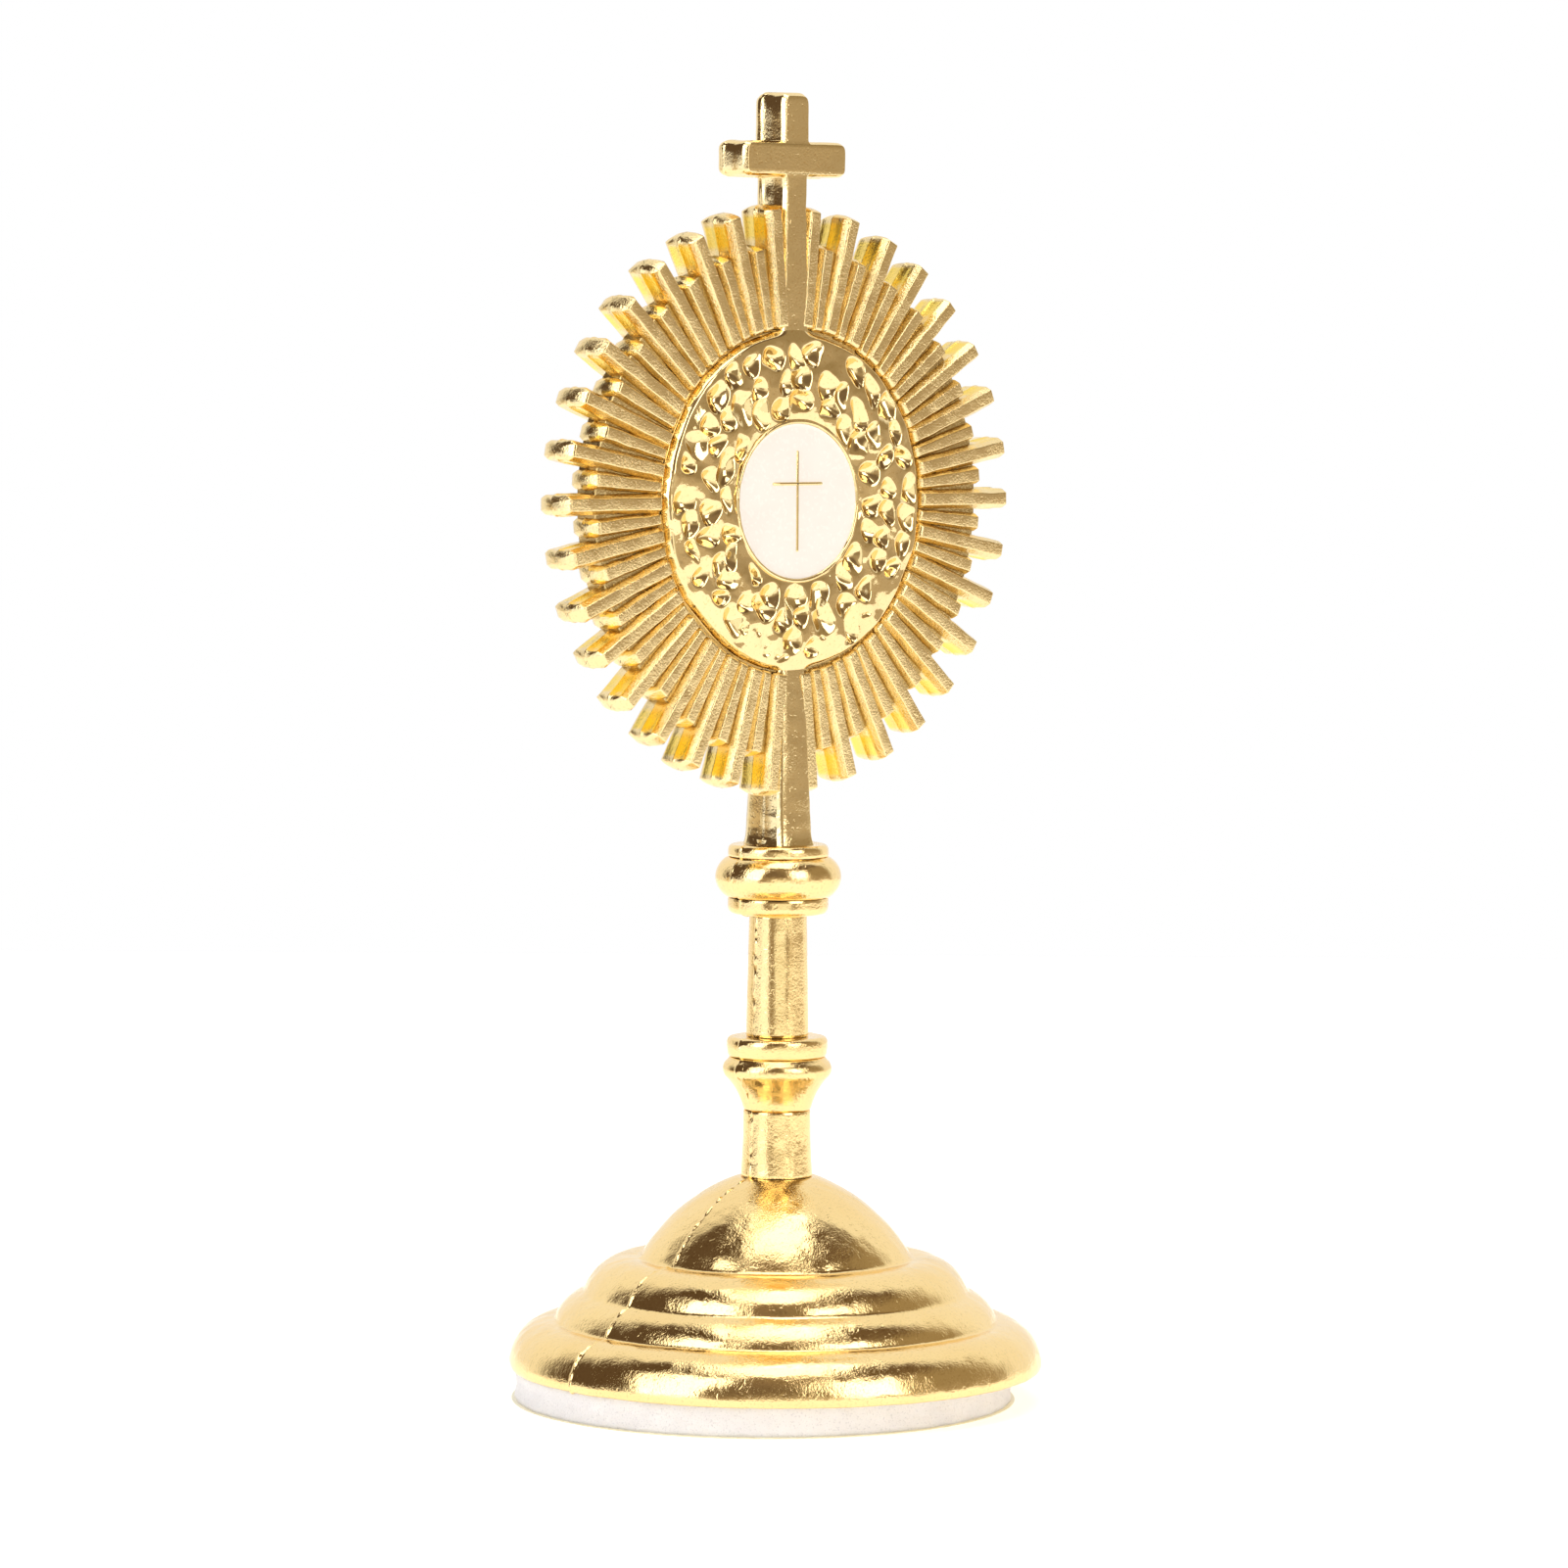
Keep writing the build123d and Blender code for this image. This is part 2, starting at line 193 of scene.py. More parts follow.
def turned(name, node, outline, seat, seed, lumps=0.005, seam=0.05, spacing=1.5, rounds=1):
    """Turned casting from (radius, height above seat), with its mould seam and slight lumps.

    The mould's halves met at y = 0: a ragged fin stands there, and the +Y half sits a little
    lower next to it.
    """
    fin_width, offset_width = 0.11, 1.6
    line = soften(trace(outline, 0.12), rounds)
    line[:, 1] += seat
    tangent = np.roll(line, -1, axis=0) - np.roll(line, 1, axis=0)
    tangent /= np.linalg.norm(tangent, axis=1)[:, None]
    angles = seam_angles(spacing)
    cos, sin = np.cos(angles)[:, None], np.sin(angles)[:, None]
    radius, height = line[:, 0][None, :], line[:, 1][None, :]
    points = np.stack([radius * cos, radius * sin, height + 0 * cos], axis=2).reshape(-1, 3)
    outward = np.stack([tangent[:, 1][None, :] * cos, tangent[:, 1][None, :] * sin,
                        -tangent[:, 0][None, :] + 0 * cos], axis=2).reshape(-1, 3)
    outside = np.clip((points[:, 0] ** 2 + points[:, 1] ** 2 - 2.0) / 1.5, 0, 1)
    swell = lumps * waves(points, 2.6, seed) + lumps * 0.5 * waves(points, 1.0, seed + 1)
    away = points[:, 1]
    ragged = 0.75 + 0.5 * waves(points, 0.7, seed + 2)
    swell += seam * ragged * np.exp(-(away / fin_width) ** 2)
    beyond = 1 / (1 + np.exp(-away / 0.05))
    swell -= seam * 0.45 * beyond * np.exp(-(away / offset_width) ** 2)
    points = points + outward * (swell * outside)[:, None]
    count, rows = len(angles), len(line)
    faces = []
    for i in range(count):
        j = (i + 1) % count
        for k in range(rows):
            m = (k + 1) % rows
            faces.append((i * rows + k, j * rows + k, j * rows + m, i * rows + m))
    return make_object(name, points, faces, GOLD, node, crease=50)


def inset(outline, amount):
    """Closed outline moved inwards by an amount, with mitred corners (anticlockwise)."""
    before = outline - np.roll(outline, 1, axis=0)
    after = np.roll(outline, -1, axis=0) - outline
    n1 = np.stack([-before[:, 1], before[:, 0]], axis=1)
    n2 = np.stack([-after[:, 1], after[:, 0]], axis=1)
    n1 /= np.linalg.norm(n1, axis=1)[:, None]
    n2 /= np.linalg.norm(n2, axis=1)[:, None]
    return outline + (n1 + n2) / (1 + (n1 * n2).sum(axis=1))[:, None] * amount


def rounded(corners, radii, steps=6):
    """Closed outline of (x, z) corners, each rounded by its radius, anticlockwise."""
    line = []
    count = len(corners)
    for i, (corner, radius) in enumerate(zip(corners, radii)):
        corner = np.array(corner, dtype=float)
        back = np.array(corners[i - 1]) - corner
        ahead = np.array(corners[(i + 1) % count]) - corner
        back /= np.linalg.norm(back)
        ahead /= np.linalg.norm(ahead)
        half = math.acos(float(np.clip(back @ ahead, -1, 1))) / 2
        reach = radius / math.tan(half)
        start, end = corner + back * reach, corner + ahead * reach
        for s in range(steps + 1):
            t = s / steps
            line.append((1 - t) ** 2 * start + 2 * t * (1 - t) * corner + t * t * end)
    return np.array(line)


def split_long(line, longest):
    """Adds points to the long runs of a closed line."""
    out = []
    for i, a in enumerate(line):
        b = line[(i + 1) % len(line)]
        count = max(1, math.ceil(np.linalg.norm(b - a) / longest))
        out += [a + (b - a) * k / count for k in range(count)]
    return np.array(out)


def depth_loft(outline, levels, shift=(0.0, 0.0)):
    """Shell from an (x, z) outline inset by an amount at each depth: levels of (y, inset)."""
    rings = []
    for y, amount in levels:
        ring = inset(outline, amount)
        rings.append(np.stack([ring[:, 0] + shift[0], np.full(len(ring), y),
                               ring[:, 1] + shift[1]], axis=1))
    points = np.concatenate(rings)
    n = len(outline)
    cap = tessellate_polygon([[Vector((x, z, 0)) for x, z in outline]])
    faces = [facing_way(triangle, outline, True) for triangle in cap]
    for k in range(len(levels) - 1):
        for i in range(n):
            j = (i + 1) % n
            faces.append((k * n + i, (k + 1) * n + i, (k + 1) * n + j, k * n + j))
    last = (len(levels) - 1) * n
    faces += [tuple(last + i for i in facing_way(triangle, outline, False)) for triangle in cap]
    return points, faces


def facing_way(triangle, outline, anticlockwise):
    """The triangle's corners in the wanted order."""
    a, b, c = (outline[i] for i in triangle)
    turn = (b[0] - a[0]) * (c[1] - a[1]) - (b[1] - a[1]) * (c[0] - a[0])
    return tuple(triangle) if (turn > 0) == anticlockwise else tuple(triangle)[::-1]


def bar_loft(sections):
    """Shell through a list of equally long closed sections, capped at both ends."""
    n = len(sections[0])
    points = np.concatenate(sections)
    faces = [tuple(reversed(range(n)))]
    for k in range(len(sections) - 1):
        for i in range(n):
            j = (i + 1) % n
            faces.append((k * n + i, k * n + j, (k + 1) * n + j, (k + 1) * n + i))
    faces.append(tuple(range((len(sections) - 1) * n, len(sections) * n)))
    return points, faces


# ---------------------------------------------------------------- materials

def new_material(name):
    material = bpy.data.materials.new(name)
    material.use_nodes = True
    tree = material.node_tree
    shader = tree.nodes["Principled BSDF"]
    coords = tree.nodes.new("ShaderNodeTexCoord").outputs["Object"]
    return material, tree, shader, coords


def noise(tree, coords, size, detail=2.0, roughness=0.5, distortion=0.0):
    """Noise texture whose lumps are about size millimetres across."""
    node = tree.nodes.new("ShaderNodeTexNoise")
    node.inputs["Scale"].default_value = 1000 / size
    node.inputs["Detail"].default_value = detail
    node.inputs["Roughness"].default_value = roughness
    node.inputs["Distortion"].default_value = distortion
    tree.links.new(coords, node.inputs["Vector"])
    return node.outputs["Fac"]


def spread(tree, value, lowest, highest, to_low, to_high, smooth=True):
    node = tree.nodes.new("ShaderNodeMapRange")
    node.interpolation_type = "SMOOTHSTEP" if smooth else "LINEAR"
    node.inputs["From Min"].default_value = lowest
    node.inputs["From Max"].default_value = highest
    node.inputs["To Min"].default_value = to_low
    node.inputs["To Max"].default_value = to_high
    tree.links.new(value, node.inputs["Value"])
    return node.outputs["Result"]


def mix_colour(tree, factor, a, b):
    node = tree.nodes.new("ShaderNodeMix")
    node.data_type = "RGBA"
    tree.links.new(factor, node.inputs["Factor"])
    for socket, colour in (("A", a), ("B", b)):
        target = [s for s in node.inputs if s.name == socket and s.type == "RGBA"][0]
        if isinstance(colour, tuple):
            target.default_value = (*colour, 1)
        else:
            tree.links.new(colour, target)
    return [s for s in node.outputs if s.type == "RGBA"][0]


def maths(tree, operation, a, b=None):
    node = tree.nodes.new("ShaderNodeMath")
    node.operation = operation
    for socket, value in zip(node.inputs, (a, b)):
        if value is None:
            continue
        if isinstance(value, (int, float)):
            socket.default_value = value
        else:
            tree.links.new(value, socket)
    return node.outputs[0]


def bump(tree, height, depth, under=None):
    """Bump of a given depth in micrometres, laid over another bump."""
    node = tree.nodes.new("ShaderNodeBump")
    node.inputs["Strength"].default_value = 1.0
    node.inputs["Distance"].default_value = depth * 1e-6
    tree.links.new(height, node.inputs["Height"])
    if under is not None:
        tree.links.new(under, node.inputs["Normal"])
    return node.outputs["Normal"]


PALE_GOLD = ((0.925, 0.745, 0.395), (0.91, 0.72, 0.37))
WARM_GOLD = ((0.965, 0.74, 0.355), (0.95, 0.715, 0.33))
PIT_GOLD = (0.85, 0.63, 0.29)
# Painted shade: darker, browner gold for the deep crevices between the sunburst's rays.
PAINTED_CREVICE_SHADE = (0.56, 0.42, 0.19)
# Painted reflection: saturated yellow for the free tips' sides, standing in for light bounced between
# the rays.
PAINTED_TIP_REFLECTION = (0.97, 0.72, 0.15)


def paint_ray_crevice_shade_and_tip_reflection(tree, coords, colour):
    """Gold of the sunburst with painted light: painted shade browns it deep between the rays, and a
    painted reflection of light bounced between them makes the free tips' sides rich yellow.
    """
    across = tree.nodes.new("ShaderNodeSeparateXYZ")
    tree.links.new(coords, across.inputs["Vector"])
    x, y, z = across.outputs
    z = maths(tree, "SUBTRACT", z, HOST_Z * 0.001)
    radius = maths(tree, "SQRT", maths(tree, "ADD", maths(tree, "MULTIPLY", x, x),
                                       maths(tree, "MULTIPLY", z, z)))
    height = maths(tree, "ABSOLUTE", y)
    deep = spread(tree, height, 0.00085, 0.00122, 1, 0)
    within = spread(tree, radius, 0.0158, 0.0163, 1, 0)
    free = maths(tree, "MULTIPLY", spread(tree, radius, 0.0164, 0.0169, 0, 1),
                 spread(tree, radius, 0.0179, 0.0182, 1, 0))
    # Painted shade deep between the rays, inside the web's radius.
    colour = mix_colour(tree, maths(tree, "MULTIPLY", deep, within), colour, PAINTED_CREVICE_SHADE)
    # Painted reflection on the free tips' sides.
    return mix_colour(tree, maths(tree, "MULTIPLY", deep, free), colour, PAINTED_TIP_REFLECTION)


def gilt(name, grain=0.15, grain_depth=16, peel_depth=6, pits=6, rough=(0.03, 0.13), patchy=0.5,
         tones=PALE_GOLD, rays=False):
    """Bright gold plating over a grainy casting: orange peel, grain, small pits, dull patches.

    grain is the grain's size in millimetres; grain_depth, peel_depth and pits are micrometres. rays
    adds painted shade between the sunburst's rays and a painted reflection on their free tips.
    """
    material, tree, shader, coords = new_material(name)
    patches = noise(tree, coords, 4.0, detail=3.0)
    fine = noise(tree, coords, grain, detail=3.0, roughness=0.6)
    peel = noise(tree, coords, 0.8, detail=2.0, roughness=0.5)
    specks = noise(tree, coords, 0.35, detail=1.0)
    colour = mix_colour(tree, spread(tree, patches, 0.35, 0.65, 0, 1), *tones)
    colour = mix_colour(tree, spread(tree, fine, 0.3, 0.46, 1, 0), colour, PIT_GOLD)
    # For the sunburst: painted shade in the crevices and a painted reflection on the free tips.
    if rays:
        colour = paint_ray_crevice_shade_and_tip_reflection(tree, coords, colour)
    tree.links.new(colour, shader.inputs["Base Color"])
    shader.inputs["Metallic"].default_value = 1.0
    shader.inputs["Specular Tint"].default_value = (1.0, 0.97, 0.92, 1)
    tree.links.new(spread(tree, maths(tree, "ADD", patches, fine), 0.8, 1.2, *rough),
                   shader.inputs["Roughness"])
    worn = maths(tree, "MULTIPLY", fine,
                 spread(tree, noise(tree, coords, 2.2), 0.4, 0.6, 1 - patchy, 1))
    normal = bump(tree, peel, peel_depth)
    normal = bump(tree, worn, grain_depth, normal)
    normal = bump(tree, spread(tree, specks, 0.62, 0.72, 1, 0), pits, normal)
    tree.links.new(normal, shader.inputs["Normal"])
    return material


def enamel(name):
    """Glossy white enamel with faint waves and fine scratches."""
    material, tree, shader, coords = new_material(name)
    cloud = noise(tree, coords, 3.0, detail=3.0)
    fine = noise(tree, coords, 0.25, detail=2.0)
    tree.links.new(mix_colour(tree, spread(tree, cloud, 0.35, 0.65, 0, 1),
                              (0.93, 0.885, 0.84), (0.95, 0.915, 0.87)),
                   shader.inputs["Base Color"])
    shader.inputs["Coat Weight"].default_value = 0.6
    shader.inputs["Coat Roughness"].default_value = 0.06
    tree.links.new(spread(tree, fine, 0.3, 0.7, 0.16, 0.3), shader.inputs["Roughness"])
    tree.links.new(bump(tree, fine, 2, bump(tree, cloud, 25)), shader.inputs["Normal"])
    return material


def foam_material(name):
    """White closed-cell foam: small cells, a few open ones, faint blue-white tone."""
    material, tree, shader, coords = new_material(name)
    cells = tree.nodes.new("ShaderNodeTexVoronoi")
    cells.inputs["Scale"].default_value = 1000 / 0.22
    tree.links.new(coords, cells.inputs["Vector"])
    grain = noise(tree, coords, 0.12, detail=3.0)
    cloud = noise(tree, coords, 2.5, detail=2.0)
    tone = mix_colour(tree, spread(tree, cloud, 0.3, 0.7, 0, 1),
                      (0.82, 0.815, 0.84), (0.88, 0.875, 0.89))
    tone = mix_colour(tree, spread(tree, grain, 0.3, 0.45, 1, 0), tone, (0.70, 0.70, 0.73))
    tree.links.new(tone, shader.inputs["Base Color"])
    shader.inputs["Specular IOR Level"].default_value = 0.3
    shader.inputs["Subsurface Weight"].default_value = 0.25
    shader.inputs["Subsurface Radius"].default_value = (1.0, 0.9, 0.85)
    shader.inputs["Subsurface Scale"].default_value = 0.0008
    tree.links.new(spread(tree, grain, 0.3, 0.7, 0.55, 0.8), shader.inputs["Roughness"])
    normal = bump(tree, cells.outputs["Distance"], 30)
    tree.links.new(bump(tree, grain, 16, normal), shader.inputs["Normal"])
    return material


def film_material(name):
    """Pale yellow release paper with long fibres and a waxy shine."""
    material, tree, shader, coords = new_material(name)
    fibres = noise(tree, coords, 0.5, detail=4.0, roughness=0.7, distortion=1.5)
    tree.links.new(mix_colour(tree, spread(tree, fibres, 0.3, 0.7, 0, 1),
                              (0.84, 0.80, 0.56), (0.90, 0.87, 0.68)),
                   shader.inputs["Base Color"])
    tree.links.new(spread(tree, fibres, 0.3, 0.7, 0.3, 0.45), shader.inputs["Roughness"])
    shader.inputs["Coat Weight"].default_value = 0.3
    shader.inputs["Coat Roughness"].default_value = 0.2
    tree.links.new(bump(tree, fibres, 6), shader.inputs["Normal"])
    return material


def steel_material(name):
    """Zinc-plated steel with turning marks round the stem's axis and dull spots."""
    material, tree, shader, coords = new_material(name)
    marks = tree.nodes.new("ShaderNodeTexWave")
    marks.wave_type = "RINGS"
    marks.rings_direction = "Z"
    marks.inputs["Scale"].default_value = 1000 / 0.5
    marks.inputs["Distortion"].default_value = 1.5
    tree.links.new(coords, marks.inputs["Vector"])
    spots = noise(tree, coords, 0.8, detail=3.0)
    tree.links.new(mix_colour(tree, spread(tree, spots, 0.35, 0.65, 0, 1),
                              (0.62, 0.62, 0.60), (0.72, 0.72, 0.71)),
                   shader.inputs["Base Color"])
    shader.inputs["Metallic"].default_value = 1.0
    tree.links.new(spread(tree, spots, 0.35, 0.65, 0.25, 0.42), shader.inputs["Roughness"])
    tree.links.new(bump(tree, spots, 8, bump(tree, marks.outputs["Fac"], 6)),
                   shader.inputs["Normal"])
    return material


GOLD = gilt("gilt_casting", grain=0.16, grain_depth=24, peel_depth=12, patchy=0.6, tones=WARM_GOLD)
GOLD_GRAINY = gilt("gilt_grainy_flats", patchy=0.8)
GOLD_RAYS_WITH_PAINTED_LIGHT = gilt("gilt_rays_painted_shade_and_reflection", grain_depth=42, patchy=0.45, rays=True)
GOLD_SMOOTH = gilt("gilt_relief", grain=0.2, grain_depth=4, peel_depth=4, pits=2,
                   rough=(0.03, 0.09))
ENAMEL = enamel("white_enamel")
FOAM = foam_material("white_foam")
FILM = film_material("release_paper")
STEEL = steel_material("plated_steel")


# ---------------------------------------------------------------- foot, stem and knop

def stack():
    """The turned castings, from the foot up to the ring over the knop."""
    bore, spigot, reach, stub = SCREW_BORE, SPIGOT_RADIUS, SPIGOT_LENGTH, STUB_RADIUS
    turned("stepped_foot", "foot", [
        (14.6, 0), (16.9, 0), (17.0, 0.4), (16.3, 2.1, "arc"), (14.1, 3.1),
        (14.0, 3.4), (13.4, 4.2, "arc"), (12.3, 4.9),
        (12.15, 5.2), (11.3, 6.35, "arc"), (8.7, 7.05),
        (8.55, 7.3), (6.55, 9.75, "arc"), (2.5, 12.25),
        (spigot, 12.25), (spigot, 11.65), (bore, 11.65), (bore, 9.0), (2.6, 9.0),
        (2.6, 10.0), (5.4, 8.9, "arc"), (7.3, 6.4),
        (7.5, 5.9), (10.7, 4.9), (12.6, 3.0), (14.6, 1.5),
    ], seat=low("foot"), seed=11, lumps=0.008, seam=0.09, spacing=1.2, rounds=2)
    seat = high("foot")
    length = low("collar_cone") - seat
    turned("lower_stem_sleeve", "lower_stem", [
        (bore, -reach), (spigot, -reach), (spigot, 0), (2.3, 0), (2.2, length * 0.4, "arc"),
        (2.15, length), (spigot, length), (spigot, length + reach), (bore, length + reach),
    ], seat=seat, seed=21, lumps=0.004)
    turned("flared_collar_cone", "collar_cone", [
        (spigot, 0), (2.15, 0), (2.5, 1.0, "arc"), (3.28, 2.1), (3.48, 2.7, "arc"), (3.1, 3.25),
        (3.1, 3.4), (bore, 3.4), (bore, reach), (spigot, reach),
    ], seat=low("collar_cone"), seed=31)
    turned("rounded_collar_ring", "collar_ring", [
        (bore, 0), (3.1, 0), (3.2, 0.5, "arc"), (3.2, 0.95), (3.1, 1.2, "arc"), (2.85, 1.3),
        (spigot, 1.3), (spigot, 0.7), (bore, 0.7),
    ], seat=low("collar_ring"), seed=41)
    seat = high("collar_ring")
    length = low("knop_lower_ring") - seat
    turned("upper_stem_sleeve", "upper_stem", [
        (bore, -reach), (spigot, -reach), (spigot, 0), (2.0, 0), (1.84, length), (spigot, length),
        (spigot, length + reach), (bore, length + reach),
    ], seat=seat, seed=51, lumps=0.004)
    turned("knop_seat_ring", "knop_lower_ring", [
        (spigot, 0), (2.75, 0), (3.1, 0.15, "arc"), (3.2, 0.5), (3.2, 1.05), (bore, 1.05),
        (bore, reach), (spigot, reach),
    ], seat=low("knop_lower_ring"), seed=61)
    turned("round_knop", "knop", [
        (bore, 0), (3.2, 0), (4.0, 1.3, "arc"), (3.2, 2.6), (stub, 2.6), (stub, 0.25), (bore, 0.25),
    ], seat=low("knop"), seed=71, lumps=0.008, seam=0.06)
    turned("knop_cap_ring", "knop_upper_ring", [
        (stub, 0), (3.2, 0), (3.2, 0.45), (3.1, 0.7, "arc"), (2.85, 0.8), (stub, 0.8),
    ], seat=low("knop_upper_ring"), seed=81)


stack()


# ---------------------------------------------------------------- sunburst

def ray_shell(length, root, flat, widening, reach, depth, bevel):
    """One ray pointing up: flat face, sloping flanks, domed tip, mould ridge round its edge.

    Half widths are flat for the face, and widening times the radius, at most reach, for the
    foot of its flanks. depth is the half depth at the face and bevel the slope's width.
    """
    dome, corner, ridge, base_depth = 0.4, min(0.56, reach * 0.85), 0.05, 0.85
    big = (depth * depth + dome * dome) / (2 * dome)
    inner = np.linspace(root + 0.35, length - 0.62, 30)
    tip = length - np.array([0.56, 0.5, 0.45, 0.39, 0.33, 0.28, 0.22, 0.17, 0.12, 0.08, 0.045,
                             0.02, 0.006])
    sections = []
    for radius in [root, root + 0.1, root + 0.22] + list(inner) + list(tip):
        left = length - radius
        top = depth if left >= dome else math.sqrt(max(2 * big * left - left * left, 1e-4))
        if radius < root + 0.2:
            top = depth - (0.34 if radius == root else 0.12)
        wide = min(widening * radius, reach)
        if left < corner:
            wide -= corner - math.sqrt(corner * corner - (corner - left) ** 2)
        wide = max(wide, 0.05)
        face = min(flat * (0.86 + 0.14 * radius / 15), wide * 0.62)
        slope = min(bevel, wide - face, top * 0.3)
        foot = min(widening * radius, reach) if left > corner else wide
        knee = (face + slope, top - 1.75 * slope)
        low_edge = min(base_depth, knee[1] * 0.8)
        flare = foot if radius > SHORT_RAY_RADIUS else max(foot, knee[0])
        half = [
            (0.0, top), (face - 0.05, top), (face - 0.01, top - 0.005), (face + 0.02, top - 0.035),
            (face + 0.045, top - 0.08), (knee[0] - 0.03, knee[1] + 0.06),
            (knee[0] - 0.01, knee[1] + 0.01), (knee[0] + 0.012, knee[1] - 0.06),
            (flare + 0.02, low_edge), (flare + 0.03, 0.12), (flare + 0.03 + ridge, 0.06),
            (flare + 0.03 + ridge, -0.06), (flare + 0.03, -0.12), (flare + 0.02, -low_edge),
            (knee[0] + 0.012, -knee[1] + 0.06), (knee[0] - 0.01, -knee[1] - 0.01),
            (knee[0] - 0.03, -knee[1] - 0.06), (face + 0.045, -top + 0.08),
            (face + 0.02, -top + 0.035), (face - 0.01, -top + 0.005), (face - 0.05, -top),
            (0.0, -top),
        ]
        ring = half + [(-x, y) for x, y in reversed(half[1:-1])]
        sections.append(np.array([(x, -y, radius) for x, y in ring]))
    return bar_loft(sections)


def sunburst():
    """Web disc with long and short rays by turns, round the host's centre."""
    rng = np.random.default_rng(5)
    shells = Shells()
    web_levels = [(-0.9, 0.12), (-0.82, 0.02), (0.82, 0.02), (0.9, 0.12)]
    circle = np.array([(WEB_RADIUS * math.cos(a), WEB_RADIUS * math.sin(a))
                       for a in np.linspace(0, TAU, 272, endpoint=False)])
    shells.add(*depth_loft(circle, web_levels))
    for index in range(RAYS):
        for long in (True, False):
            if not long and index in (0, RAYS // 2):
                continue
            place = index + 0.5 if long else index
            if long:
                points, faces = ray_shell(
                    LONG_RAY_RADIUS - rng.uniform(0, 0.14), root=10.85, flat=0.36,
                    widening=0.0533, reach=0.63 * rng.uniform(0.96, 1.03), depth=1.5, bevel=0.31)
            else:
                points, faces = ray_shell(
                    SHORT_RAY_RADIUS - rng.uniform(0, 0.16), root=10.8, flat=0.35,
                    widening=0.0385, reach=0.7 * rng.uniform(0.96, 1.02), depth=1.34, bevel=0.22)
            points[:, 1] *= rng.uniform(0.985, 1.0)
            points[:, 0] += 0.012 * waves(points, 2.0, 100 + int(place * 2))
            points[:, 1] += 0.005 * waves(points, 1.3, 300 + int(place * 2)) * np.sign(points[:, 1])
            turn = place * TAU / RAYS + math.radians(rng.uniform(-0.3, 0.3))
            x, y, z = points.T
            shells.add(np.stack([x * math.cos(turn) + z * math.sin(turn), y,
                                 -x * math.sin(turn) + z * math.cos(turn)], axis=1), faces)
    points = np.array(shells.points)
    points[:, 2] += HOST_Z
    make_object("sunburst_rays", points, shells.faces, GOLD_RAYS_WITH_PAINTED_LIGHT, "sunburst", crease=48,
                weighted=True)


sunburst()


# ---------------------------------------------------------------- cross and neck

def bevel_levels(depth, ridge_at, ridge=0.06):
    """Depth levels with a steep chamfer at each face and a mould ridge nearer the back."""
    bevel = [(0.0, 0.2), (0.01, 0.17), (0.05, 0.14), (0.3, 0.02), (0.34, 0.006), (0.4, 0.0)]
    front = [(-depth + y, amount) for y, amount in bevel]
    back = [(depth - y, amount) for y, amount in reversed(bevel)]
    middle = [(-depth * 0.3, 0.0), (ridge_at - 0.14, 0.0), (ridge_at - 0.06, -ridge),
              (ridge_at + 0.03, -ridge), (ridge_at + 0.08, 0.0)]
    return front + middle + back


def add_tang(shells, bottom, top):
    """Flat tongue that is let into the sunburst's web, from bottom to top."""
    half = 0.8
    outline = np.array([(-half, bottom), (half, bottom), (half, top), (-half, top)])
    shells.add(*depth_loft(outline, [(-WEB_HALF_DEPTH, 0), (WEB_HALF_DEPTH, 0)]))


def cross():
    """Latin cross on a shaft that widens down to the nimbus, with rounded ends."""
    slim, broad, bar, arm = 0.96, 1.14, 1.1, 4.23
    top = high("cross")
    arm_z = top - 4.1
    taper_top = top - 7.3
    foot = HOST_Z + 10.1
    corners = [(-broad, foot), (broad, foot), (slim, taper_top), (slim, arm_z - bar),
               (arm, arm_z - bar), (arm, arm_z + bar), (bar, arm_z + bar), (bar, top), (-bar, top),
               (-bar, arm_z + bar), (-arm, arm_z + bar), (-arm, arm_z - bar), (-slim, arm_z - bar),
               (-slim, taper_top)]
    radii = [0.15, 0.15, 0.3, 0.15, 0.6, 0.6, 0.15, 0.62, 0.62, 0.15, 0.6, 0.6, 0.15, 0.3]
    outline = split_long(rounded(corners, radii), 0.35)
    shells = Shells()
    points, faces = depth_loft(outline, bevel_levels(CROSS_HALF_DEPTH, ridge_at=0.78))
    bulge = 0.1 * (1 - (points[:, 1] / CROSS_HALF_DEPTH) ** 2)
    ends = np.clip((np.abs(points[:, 0]) - (arm - 0.3)) / 0.3, 0, 1)
    points[:, 0] += ends * bulge * np.sign(points[:, 0])
    points[:, 2] += np.clip((points[:, 2] - (top - 0.3)) / 0.3, 0, 1) * bulge
    points[:, [0, 2]] += 0.012 * waves(points, 1.4, 7)[:, None] * [1, 0.6]
    shells.add(points, faces)
    add_tang(shells, HOST_Z + TANG_REACH, foot + 0.5)
    make_object("latin_cross", shells.points, shells.faces, GOLD_GRAINY, "cross", crease=48,
                weighted=True)


cross()


